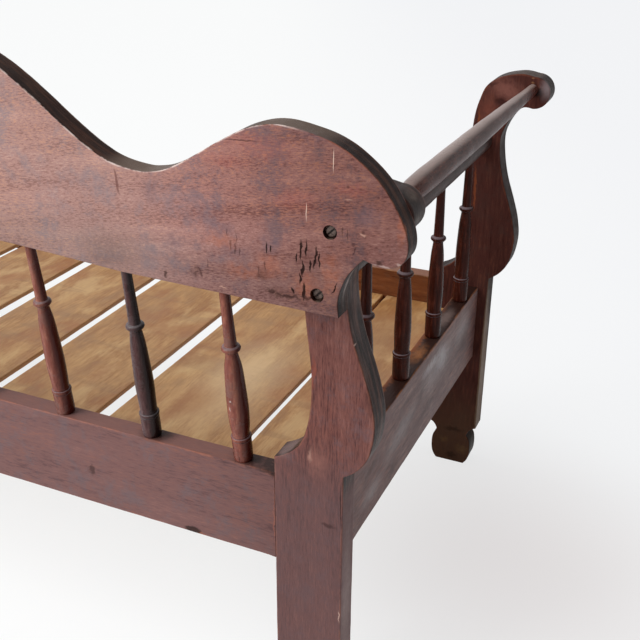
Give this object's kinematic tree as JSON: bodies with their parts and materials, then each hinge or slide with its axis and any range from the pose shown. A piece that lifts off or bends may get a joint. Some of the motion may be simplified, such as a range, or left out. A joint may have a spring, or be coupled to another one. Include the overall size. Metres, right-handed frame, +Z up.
{
  "type": "bench",
  "caption": "Wooden porch bench with scrolled posts, a humped crest rail, turned spindles, round arm bars and a boarded seat on square legs with bulb feet.",
  "frame": {"origin": "on the floor, under the middle of the outer box", "axes": "+X along the bench to the sitter's left, -Y towards the front, where the sitter faces, +Z up"},
  "size_m": [1.5738, 0.6304, 0.786],
  "materials": {
    "stained_wood": "old dark stain under a worn satin varnish",
    "seat_wood": "pale tan board, lightly sealed",
    "screw_steel": "dull, darkened steel"
  },
  "bodies": {
    "root": {"arm_bar_left": "stained_wood", "arm_bar_right": "stained_wood", "back_ledger": "stained_wood", "back_ledger_screw_1": "screw_steel", "back_ledger_screw_2": "screw_steel", "back_ledger_screw_3": "screw_steel", "back_ledger_screw_4": "screw_steel", "back_rail": "stained_wood", "back_spindle_1": "stained_wood", "back_spindle_10": "stained_wood", "back_spindle_11": "stained_wood", "back_spindle_2": "stained_wood", "back_spindle_3": "stained_wood", "back_spindle_4": "stained_wood", "back_spindle_5": "stained_wood", "back_spindle_6": "stained_wood", "back_spindle_7": "stained_wood", "back_spindle_8": "stained_wood", "back_spindle_9": "stained_wood", "crest_rail": "stained_wood", "crest_screw_left_1": "screw_steel", "crest_screw_left_2": "screw_steel", "crest_screw_right_1": "screw_steel", "crest_screw_right_2": "screw_steel", "front_ledger": "stained_wood", "front_ledger_screw_1": "screw_steel", "front_ledger_screw_2": "screw_steel", "front_ledger_screw_3": "screw_steel", "front_ledger_screw_4": "screw_steel", "front_post_left": "stained_wood", "front_post_right": "stained_wood", "front_rail": "stained_wood", "rear_post_left": "stained_wood", "rear_post_right": "stained_wood", "seat_board_1": "seat_wood", "seat_board_2": "seat_wood", "seat_board_3": "seat_wood", "seat_board_4": "seat_wood", "seat_board_5": "seat_wood", "seat_board_6": "seat_wood", "seat_board_7": "seat_wood", "seat_board_8": "seat_wood", "seat_board_9": "seat_wood", "side_rail_left": "stained_wood", "side_rail_right": "stained_wood", "side_spindle_left_1": "stained_wood", "side_spindle_left_2": "stained_wood", "side_spindle_left_3": "stained_wood", "side_spindle_left_4": "stained_wood", "side_spindle_right_1": "stained_wood", "side_spindle_right_2": "stained_wood", "side_spindle_right_3": "stained_wood", "side_spindle_right_4": "stained_wood", "spindle_bar_left": "stained_wood", "spindle_bar_right": "stained_wood"}
  },
  "joints": []
}
